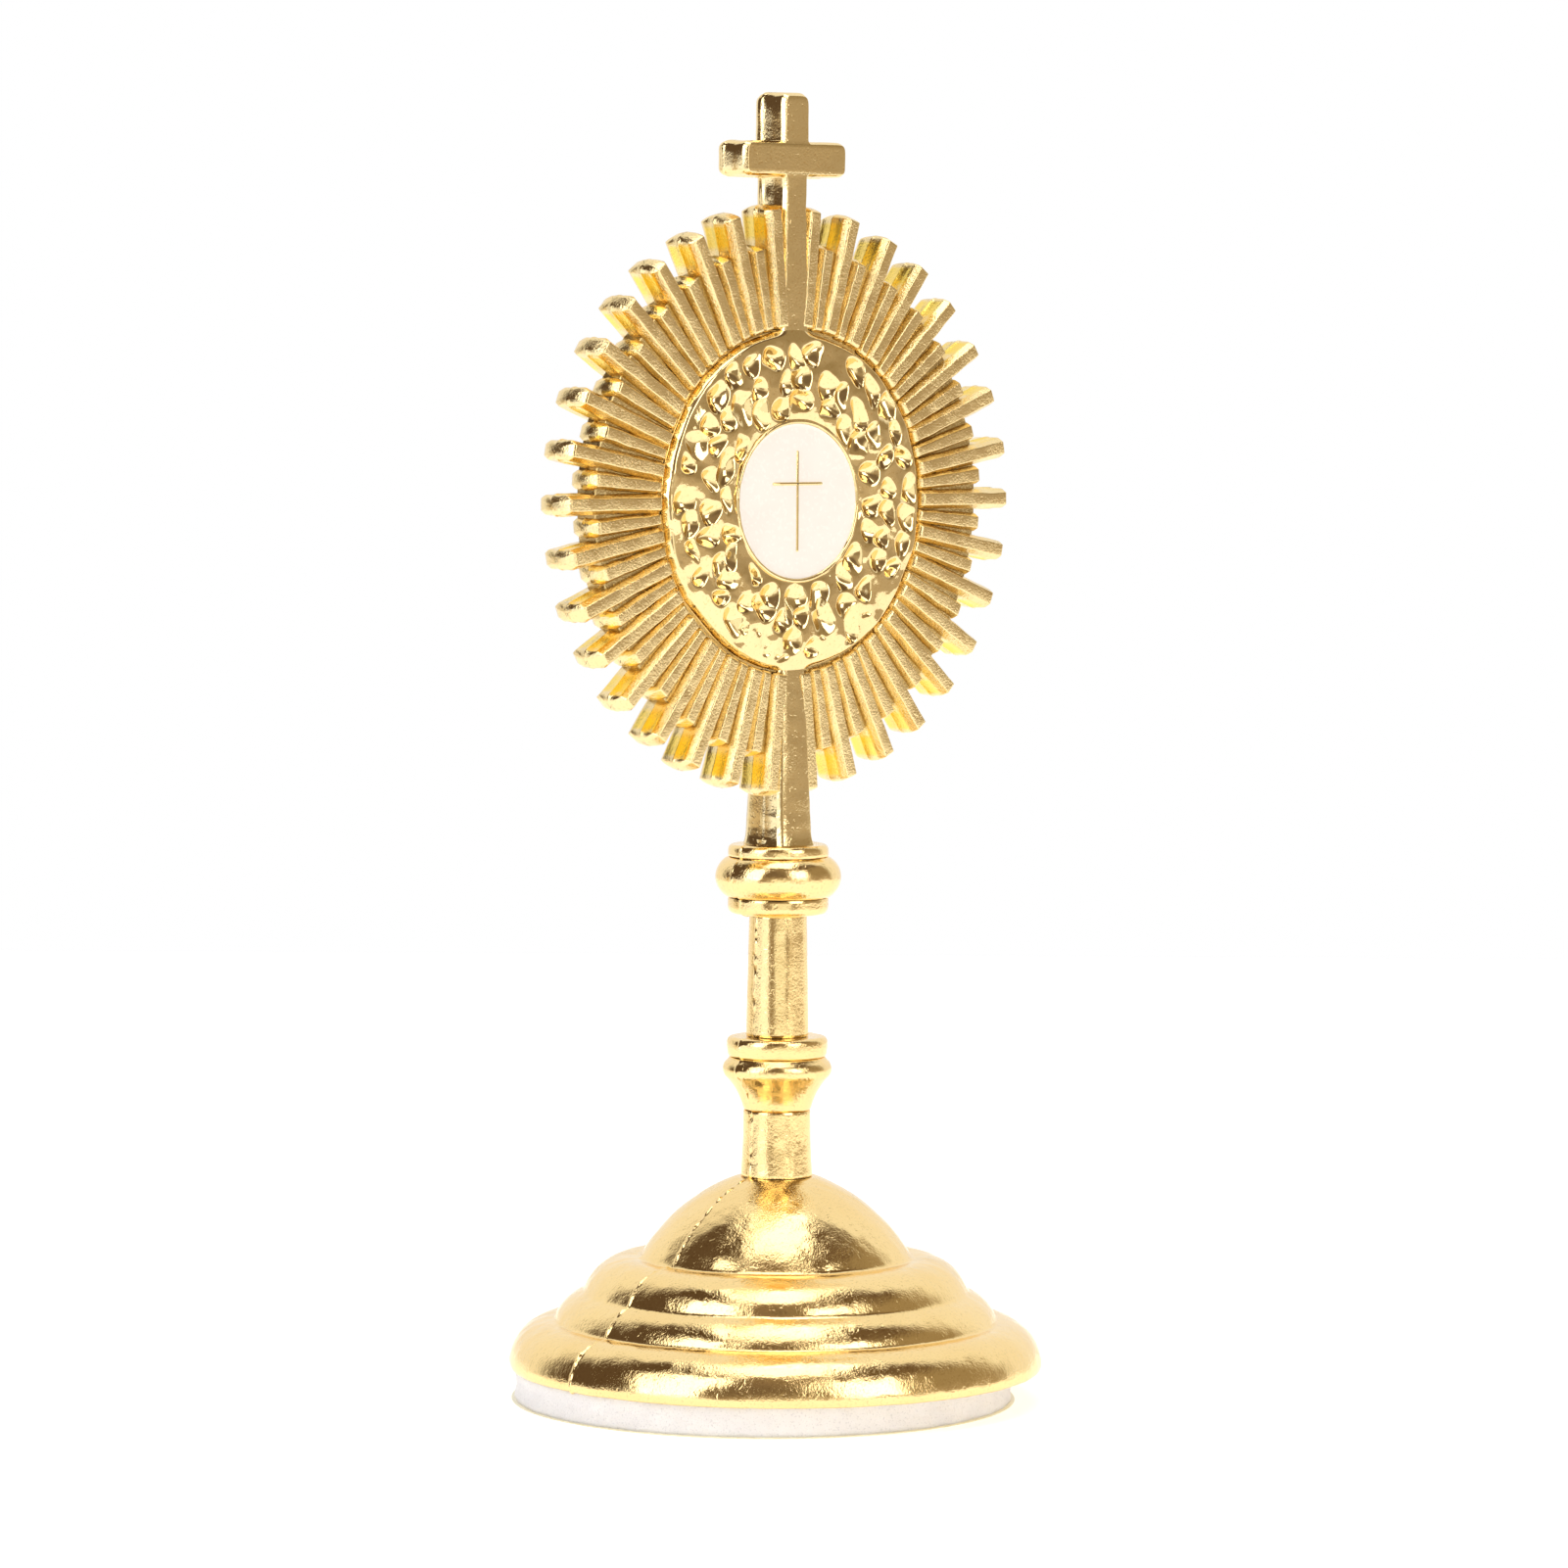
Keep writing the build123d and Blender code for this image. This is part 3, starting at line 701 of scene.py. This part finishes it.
def neck():
    """Tapered bar from the knop to the nimbus, with its stub and tang."""
    bottom, top = high("knop_upper_ring"), HOST_Z - 10.2
    bevel = 0.22
    shells = Shells()
    sections = []
    stripe = np.random.default_rng(9)
    for z in np.linspace(bottom, top, 90):
        t = (z - bottom) / (top - bottom)
        width = 1.4 + (1.08 - 1.4) * t
        depth = 1.85 + (1.35 - 1.85) * t
        flare = 0.06 * math.exp(-(z - bottom) / 0.25)
        groove = stripe.uniform(-0.003, 0.003)
        half = [(0.0, depth), (width - bevel - 0.03, depth), (width - bevel + 0.03, depth - 0.035),
                (width - 0.03, depth - 2 * bevel + 0.05),
                (width + groove, depth - 2 * bevel - 0.04),
                (width + groove, 0.3), (width + groove, 0.13), (width + 0.02, 0.06)]
        half = half + [(x, -y) for x, y in reversed(half)]
        ring = half + [(-x, y) for x, y in reversed(half[1:-1])]
        sections.append(np.array([(x * (1 + flare), -y * (1 + flare), z) for x, y in ring]))
    points, faces = bar_loft(sections)
    points[:, 0] += 0.003 * waves(points, 1.2, 17)
    points[:, 1] += 0.008 * waves(points, 1.2, 18)
    shells.add(points, faces)
    add_tang(shells, top - 0.5, HOST_Z - TANG_REACH)
    stub_bottom = low("neck")
    stub = [np.array([(STUB_RADIUS * math.cos(a), STUB_RADIUS * math.sin(a), z)
                      for a in np.linspace(0, TAU, 48, endpoint=False)])
            for z in (stub_bottom, bottom + 0.3)]
    shells.add(*bar_loft(stub))
    make_object("tapered_neck", shells.points, shells.faces, GOLD_GRAINY, "neck", crease=48,
                weighted=True)


neck()


# ---------------------------------------------------------------- nimbus, host and emblem

def hollow_field(x, z, seed):
    """Depth from 0 to 1 of the hammered hollows: three irregular rows, long ones and pits."""
    rng = np.random.default_rng(seed)
    flat = np.stack([x, z, 0 * x], axis=1)
    wx = x + 0.13 * waves(flat, 2.4, seed + 1)
    wz = z + 0.13 * waves(flat, 2.4, seed + 2)
    best = np.zeros(len(x))

    def hollow(cx, cz, a, b, turn, deep):
        u = (wx - cx) * math.cos(turn) + (wz - cz) * math.sin(turn)
        v = -(wx - cx) * math.sin(turn) + (wz - cz) * math.cos(turn)
        q = (u / a) ** 2 + (v / b) ** 2
        return np.maximum(best, deep * np.clip(1 - q, 0, 1) ** 1.7)

    for radius, count in ((6.15, 20), (7.6, 27), (9.15, 33)):
        start = rng.uniform(0, TAU)
        for i in range(count):
            angle = start + (i + rng.uniform(-0.24, 0.24)) * TAU / count
            r = radius + rng.uniform(-0.32, 0.32)
            cx, cz = r * math.sin(angle), r * math.cos(angle)
            if radius > 9 and cz < -5.6 and rng.random() < 0.75:
                continue
            if rng.random() < 0.03:
                continue
            best = hollow(cx, cz, rng.uniform(0.66, 0.94), rng.uniform(0.78, 1.2),
                          rng.uniform(-0.5, 0.5), rng.uniform(0.65, 1.0))
    for cx, length in ((-0.75, 1.5), (1.95, 1.5)):
        best = hollow(cx, -6.95, 0.42, length, 0.12 * cx, 0.75)
    for _ in range(16):
        angle = rng.uniform(2.3, 4.0)
        r = rng.uniform(8.6, 10.2)
        size = rng.uniform(0.12, 0.26)
        best = hollow(r * math.sin(angle), r * math.cos(angle), size * 1.4, size,
                      rng.uniform(-0.4, 0.4), rng.uniform(0.15, 0.3))
    return best


def nimbus(name, node, front, seed):
    """Gilt cloud round the host, hammered with rounded hollows, on one face of the sunburst."""
    inner, outer, rim_width = BEZEL_RADIUS, NIMBUS_RADIUS, 0.37
    rings = np.concatenate([[inner, inner], np.linspace(inner + 0.03, outer - 0.35, 96),
                            outer - np.array([0.27, 0.2, 0.14, 0.09, 0.05, 0.02, 0, 0])])
    count = 680
    angles = np.linspace(0, TAU, count, endpoint=False)
    rr, aa = np.meshgrid(rings, angles, indexing="ij")
    wobble = np.stack([np.cos(aa.ravel()), np.sin(aa.ravel()), 0 * aa.ravel()], axis=1) * 4
    rim = 0.06 * waves(wobble, 2.2, seed + 9).reshape(aa.shape)
    grow = np.clip((rr - 8.5) / 2.3, 0, 1)
    radius = rr + np.clip(rim - 0.04, -0.2, 0.03) * grow
    x, z = radius * np.sin(aa), radius * np.cos(aa)
    surface = np.stack([x.ravel(), z.ravel(), 0 * x.ravel()], axis=1)
    base = 1.86 - 0.2 * np.clip((6.8 - rr) / 1.6, 0, 1) ** 2
    base = base - 0.36 * np.clip((rr - 7.6) / 3.2, 0, 1) ** 1.7
    base = base + 0.035 * waves(surface, 2.2, seed + 4).reshape(rr.shape)
    edge = np.clip((rr - (outer - rim_width)) / rim_width, 0, 1)
    under_bars = np.exp(-(x / 1.45) ** 4)
    base = base - 0.62 * edge ** 1.5 * (1 - under_bars)
    hollow = hollow_field(x.ravel(), z.ravel(), seed).reshape(rr.shape)
    fade = np.clip((rr - inner) / 0.3, 0, 1) * np.clip((10.6 - rr) / 0.4, 0, 1)
    fine = waves(surface, 0.7, seed + 5).reshape(rr.shape)
    depth = base - fade * (0.66 * hollow - 0.003 * fine)
    depth[0, :] = WEB_HALF_DEPTH
    depth[-1, :] = WEB_HALF_DEPTH
    y = -depth if front else depth
    points = np.stack([x.ravel(), y.ravel(), z.ravel() + HOST_Z], axis=1)
    rows = len(rings)
    faces = []
    for i in range(rows):
        k = (i + 1) % rows
        for j in range(count):
            m = (j + 1) % count
            quad = (i * count + j, i * count + m, k * count + m, k * count + j)
            faces.append(quad if front else quad[::-1])
    return make_object(name, points, faces, GOLD_SMOOTH, node, crease=60)


nimbus("hammered_nimbus_front", "nimbus_front", True, 41)
nimbus("hammered_nimbus_back", "nimbus_back", False, 77)


def bezel(side, sign):
    """Thin gilt ring round the host, turned about its axis from (radius, depth) points."""
    inner, outer, count = HOST_RADIUS, BEZEL_RADIUS, 256
    profile = [(inner, WEB_HALF_DEPTH), (outer, WEB_HALF_DEPTH), (outer + 0.02, 1.66),
               (outer - 0.05, 1.8), (inner + 0.07, 1.8), (inner, 1.7)]
    line = soften(trace(profile, 0.08), 1)
    points = []
    for angle in np.linspace(0, TAU, count, endpoint=False):
        for radius, depth in line:
            points.append((radius * math.sin(angle), sign * depth, HOST_Z + radius * math.cos(angle)))
    points = np.array(points)
    points[:, 1] += 0.012 * waves(points, 1.1, 3)
    rows = len(line)
    faces = []
    for i in range(count):
        j = (i + 1) % count
        for k in range(rows):
            m = (k + 1) % rows
            quad = (i * rows + k, i * rows + m, j * rows + m, j * rows + k)
            faces.append(quad if sign < 0 else quad[::-1])
    make_object(f"thin_bezel_{side}", points, faces, GOLD_SMOOTH, f"host_bezel_{side}", crease=50)


def disc_shell(radius, back, face, sign, count=192):
    """Flat disc with a meniscus where the enamel wets its rim."""
    rings = [(radius, back), (radius, face + 0.02), (radius - 0.06, face + 0.005),
             (radius - 0.2, face - 0.015), (radius - 0.5, face - 0.02)]
    rings += [(r, face - 0.02) for r in (3.4, 2.4, 1.4, 0.5)]
    points = []
    for r, depth in rings:
        for a in np.linspace(0, TAU, count, endpoint=False):
            points.append((r * math.sin(a), sign * depth, HOST_Z + r * math.cos(a)))
    n = count
    faces = [tuple(range(n)) if sign > 0 else tuple(reversed(range(n)))]
    for k in range(len(rings) - 1):
        for i in range(n):
            j = (i + 1) % n
            quad = (k * n + i, (k + 1) * n + i, (k + 1) * n + j, k * n + j)
            faces.append(quad if sign > 0 else quad[::-1])
    last = range((len(rings) - 1) * n, len(rings) * n)
    faces.append(tuple(reversed(last)) if sign > 0 else tuple(last))
    return np.array(points), faces


def wire_outline(a, b, half):
    """Anticlockwise outline of a straight wire from a to b with round ends."""
    a, b = np.array(a, dtype=float), np.array(b, dtype=float)
    along = (b - a) / np.linalg.norm(b - a)
    across = np.array([along[1], -along[0]])
    outline = []
    for centre, start in ((b - along * half, -math.pi / 2), (a + along * half, math.pi / 2)):
        for k in range(9):
            t = start + math.pi * k / 8
            outline.append(centre + half * (math.cos(t) * along - math.sin(t) * across))
    outline = np.array(outline)
    area = np.sum(outline[:, 0] * np.roll(outline[:, 1], -1)
                  - outline[:, 1] * np.roll(outline[:, 0], -1))
    return outline[::-1] if area < 0 else outline


def host(side, sign):
    """Enamelled disc in its thin gilt bezel, with a plain wire cross on it."""
    points, faces = disc_shell(HOST_RADIUS, WEB_HALF_DEPTH, 1.66, sign)
    make_object(f"enamel_host_{side}", points, faces, ENAMEL, f"host_{side}",
                crease=40)
    bezel(side, sign)
    shells = Shells()
    depth = 1.7
    levels = [(-depth, 0.05), (-depth + 0.02, 0.02), (-depth + 0.05, 0.0), (-1.3, 0.0)]
    for a, b in (((0, -3.2), (0, 3.2)), ((-2.1, 1.1), (2.1, 1.1))):
        points, faces = depth_loft(wire_outline(a, b, half=0.1), levels, shift=(0, HOST_Z))
        if sign > 0:
            points[:, 1] *= -1
            faces = [face[::-1] for face in faces]
        shells.add(points, faces)
    make_object(f"wire_cross_{side}", shells.points, shells.faces, GOLD_SMOOTH,
                f"host_emblem_{side}", crease=40)


host("front", -1)
host("back", 1)


# ---------------------------------------------------------------- foam pad and liner

def upright_stack(rows, count=320):
    """Closed shell through level circles: rows of (radius, height), from the bottom up."""
    angles = np.linspace(0, TAU, count, endpoint=False)
    points = np.array([(r * math.cos(a), r * math.sin(a), z) for r, z in rows for a in angles])
    faces = [tuple(reversed(range(count)))]
    for k in range(len(rows) - 1):
        for i in range(count):
            j = (i + 1) % count
            faces.append((k * count + i, k * count + j, (k + 1) * count + j, (k + 1) * count + i))
    faces.append(tuple(range((len(rows) - 1) * count, len(rows) * count)))
    return points, faces


def footprint(node):
    """Centre, radius, bottom and top of a round upright CAD node, in millimetres."""
    radius = (high(node, 0) - low(node, 0)) / 2
    centre = ((high(node, 0) + low(node, 0)) / 2, (high(node, 1) + low(node, 1)) / 2)
    return centre, radius, low(node), high(node)


def pad():
    """Die-cut foam disc: sides slightly waisted by the cutter, edges a touch ragged."""
    centre, radius, bottom, top = footprint("foam_pad")
    rows = []
    for t in np.linspace(0, 1, 15):
        waist = 0.16 * math.sin(math.pi * t) ** 0.8
        edge = 0.12 * (math.exp(-t / 0.06) + math.exp(-(1 - t) / 0.06))
        rows.append((radius - waist - edge, bottom + (top - bottom) * t))
    rows = [(radius * f, bottom) for f in (0.5, 0.9)] + rows + [(radius * f, top) for f in (0.9, 0.5)]
    points, faces = upright_stack(rows)
    reach = np.hypot(points[:, 0], points[:, 1])
    grain = 0.02 * waves(points, 1.3, 91) + 0.012 * waves(points, 0.45, 92)
    scale = 1 + np.where(reach > radius - 0.5, np.minimum(grain, 0.05), 0) / reach
    points[:, :2] = points[:, :2] * scale[:, None] + centre
    piece = make_object("adhesive_foam_pad", points, faces, FOAM, "foam_pad", crease=60)


pad()


def liner():
    """Release paper under the pad, cut a little wider than it."""
    centre, radius, bottom, top = footprint("release_liner")
    rows = [(radius * 0.5, bottom), (radius - 0.02, bottom), (radius, bottom + 0.015),
            (radius, top - 0.015), (radius - 0.02, top), (radius * 0.5, top)]
    points, faces = upright_stack(rows)
    rag = 1 + 0.0008 * np.sin(7 * np.arctan2(points[:, 1], points[:, 0]) + 1)
    edge = np.hypot(points[:, 0], points[:, 1]) > radius * 0.9
    points[:, :2] = points[:, :2] * np.where(edge, rag, 1)[:, None] + centre
    piece = make_object("release_paper_disc", points, faces, FILM, "release_liner", crease=60,
                        body="liner")


liner()

for node in ("washer", "tie_screw"):
    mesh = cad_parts[node].data
    mesh.materials.clear()
    mesh.materials.append(STEEL)


# ---------------------------------------------------------------- camera, floor and light

def camera():
    """Long-lens camera; returns the level direction that it looks in."""
    azimuth = math.radians(CAMERA_AZIMUTH)
    right = Vector((math.cos(azimuth), math.sin(azimuth), 0))
    ahead = Vector((-math.sin(azimuth), math.cos(azimuth), 0))
    pitch = math.radians(CAMERA_PITCH)
    look = ahead * math.cos(pitch) + Vector((0, 0, 1)) * math.sin(pitch)
    up = right.cross(look)
    roll = math.radians(CAMERA_ROLL)
    right, up = (right * math.cos(roll) + up * math.sin(roll),
                 up * math.cos(roll) - right * math.sin(roll))
    data = bpy.data.cameras.new("camera")
    data.lens = CAMERA_LENS
    data.sensor_width = 36
    data.clip_start = 0.01
    data.clip_end = 20
    eye = bpy.data.objects.new("camera", data)
    place = (-ahead * CAMERA_DISTANCE + Vector((right.x, right.y, 0)) * CAMERA_SIDESTEP
             + Vector((0, 0, CAMERA_HEIGHT))) * 0.001
    eye.matrix_world = Matrix.Translation(place) @ Matrix((right, up, -look)).transposed().to_4x4()
    bpy.context.scene.collection.objects.link(eye)
    bpy.context.scene.camera = eye
    return ahead


AHEAD = camera()
RIGHT = Vector((AHEAD.y, -AHEAD.x, 0))


def floor():
    """Small pale floor; round it the object reflects the room."""
    material = bpy.data.materials.new("pale_floor")
    material.use_nodes = True
    shader = material.node_tree.nodes["Principled BSDF"]
    shader.inputs["Base Color"].default_value = (0.93, 0.93, 0.92, 1)
    shader.inputs["Roughness"].default_value = 0.8
    shader.inputs["Emission Color"].default_value = (1, 1, 1, 1)
    shader.inputs["Emission Strength"].default_value = 0.42
    left, right, near, far = -0.15, 0.36, -0.16, 0.3
    corners = [RIGHT * x + AHEAD * y
               for x, y in ((left, near), (right, near), (right, far), (left, far))]
    mesh = bpy.data.meshes.new("pale_floor")
    mesh.from_pydata([(c.x, c.y, -1e-5) for c in corners], [], [(0, 1, 2, 3)])
    mesh.materials.append(material)
    sheet = bpy.data.objects.new("pale_floor", mesh)
    bpy.context.scene.collection.objects.link(sheet)


floor()


def softbox(name, azimuth, elevation, width, height, radiance):
    """Area light aimed at the object; its place and size are in degrees seen from there."""
    distance, aim = 0.7, Vector((0, 0, 0.04))
    a, e = math.radians(azimuth), math.radians(elevation)
    way = (-AHEAD * math.cos(a) + RIGHT * math.sin(a)) * math.cos(e) + Vector((0, 0, math.sin(e)))
    data = bpy.data.lights.new(name, "AREA")
    data.shape = "RECTANGLE"
    data.size = 2 * distance * math.tan(math.radians(width / 2))
    data.size_y = 2 * distance * math.tan(math.radians(height / 2))
    data.energy = radiance * math.pi * data.size * data.size_y
    lamp = bpy.data.objects.new(name, data)
    lamp.location = way * distance + aim
    lamp.rotation_mode = "QUATERNION"
    lamp.rotation_quaternion = way.to_track_quat("Z", "Y")
    lamp.visible_camera = False
    bpy.context.scene.collection.objects.link(lamp)


softbox("softbox_left", -47, 27, 31, 48, 2.6)
softbox("softbox_right", 42, 24, 31, 42, 2.6)
softbox("softbox_top", 0, 81, 40, 38, 2.2)


def colour_ring(tree, azimuth, stops):
    """Colour all round by azimuth in degrees from the camera's side, right-hand positive."""
    ramp = tree.nodes.new("ShaderNodeValToRGB")
    elements = ramp.color_ramp.elements
    while len(elements) < len(stops):
        elements.new(0.5)
    for element, (degrees, _) in zip(elements, stops):
        element.position = (degrees + 180) / 360
    for element, (_, colour) in zip(elements, stops):
        element.color = (*colour, 1)
    tree.links.new(spread(tree, azimuth, -math.pi, math.pi, 0, 1, smooth=False),
                   ramp.inputs["Fac"])
    return ramp.outputs["Color"]


def room():
    """Soft surroundings: a white sweep behind the object and a dim warm room in front."""
    world = bpy.data.worlds.new("room")
    bpy.context.scene.world = world
    world.use_nodes = True
    tree = world.node_tree
    background = tree.nodes["Background"]
    direction = tree.nodes.new("ShaderNodeTexCoord").outputs["Generated"]

    def along(vector):
        node = tree.nodes.new("ShaderNodeVectorMath")
        node.operation = "DOT_PRODUCT"
        node.inputs[1].default_value = vector
        tree.links.new(direction, node.inputs[0])
        return node.outputs["Value"]

    azimuth = maths(tree, "ARCTAN2", along(RIGHT), along(-AHEAD))
    rise = maths(tree, "ARCSINE", along((0, 0, 1)))
    sweep = (1.0, 0.97, 0.93)
    dark = (0.115, 0.076, 0.05)
    bright = (1.28, 1.3, 1.4)
    below = colour_ring(tree, azimuth, [
        (-180, sweep), (-118, sweep), (-110, (0.74, 0.6, 0.42)), (-95, (0.64, 0.5, 0.34)),
        (-86, bright), (-38, bright),
        (-31, (0.34, 0.27, 0.19)), (-15, (0.34, 0.27, 0.19)), (-7, (1.2, 1.17, 1.1)),
        (27, (1.15, 1.12, 1.04)), (33, (0.4, 0.32, 0.23)), (40, (0.4, 0.32, 0.23)),
        (48, (0.82, 0.73, 0.6)), (60, (0.62, 0.51, 0.39)), (112, (0.52, 0.42, 0.31)), (124, sweep),
        (180, sweep)])
    level = colour_ring(tree, azimuth, [
        (-180, sweep), (-125, sweep), (-113, dark), (-70, dark), (-62, bright), (-34, bright),
        (-27, (0.4, 0.31, 0.21)), (-8, (0.5, 0.41, 0.3)), (10, (0.7, 0.6, 0.46)),
        (30, (0.5, 0.4, 0.29)), (62, (0.47, 0.38, 0.28)), (112, (0.47, 0.38, 0.28)),
        (124, sweep), (180, sweep)])
    middle = colour_ring(tree, azimuth, [
        (-180, sweep), (-125, sweep), (-113, dark), (-66, dark), (-28, (0.22, 0.16, 0.11)),
        (0, (0.19, 0.14, 0.10)), (26, (0.36, 0.28, 0.18)), (62, (0.36, 0.28, 0.18)),
        (112, (0.36, 0.28, 0.18)), (124, sweep), (180, sweep)])
    above = colour_ring(tree, azimuth, [
        (-180, sweep), (-128, sweep), (-114, dark), (-60, dark), (-20, (0.25, 0.18, 0.13)),
        (20, (0.33, 0.25, 0.17)), (58, (0.17, 0.115, 0.075)), (108, (0.15, 0.10, 0.065)),
        (118, sweep), (180, sweep)])
    rad = math.radians
    colour = mix_colour(tree, spread(tree, rise, rad(-1.6), rad(0.9), 0, 1), below, level)
    colour = mix_colour(tree, spread(tree, rise, rad(2), rad(17), 0, 1), colour, middle)
    colour = mix_colour(tree, spread(tree, rise, rad(36), rad(54), 0, 1), colour, above)
    seen = tree.nodes.new("ShaderNodeLightPath").outputs["Is Camera Ray"]
    colour = mix_colour(tree, seen, colour, (1.0, 1.0, 1.0))
    tree.links.new(colour, background.inputs["Color"])
    background.inputs["Strength"].default_value = 1.0


room()
bpy.context.scene.view_settings.view_transform = "Standard"
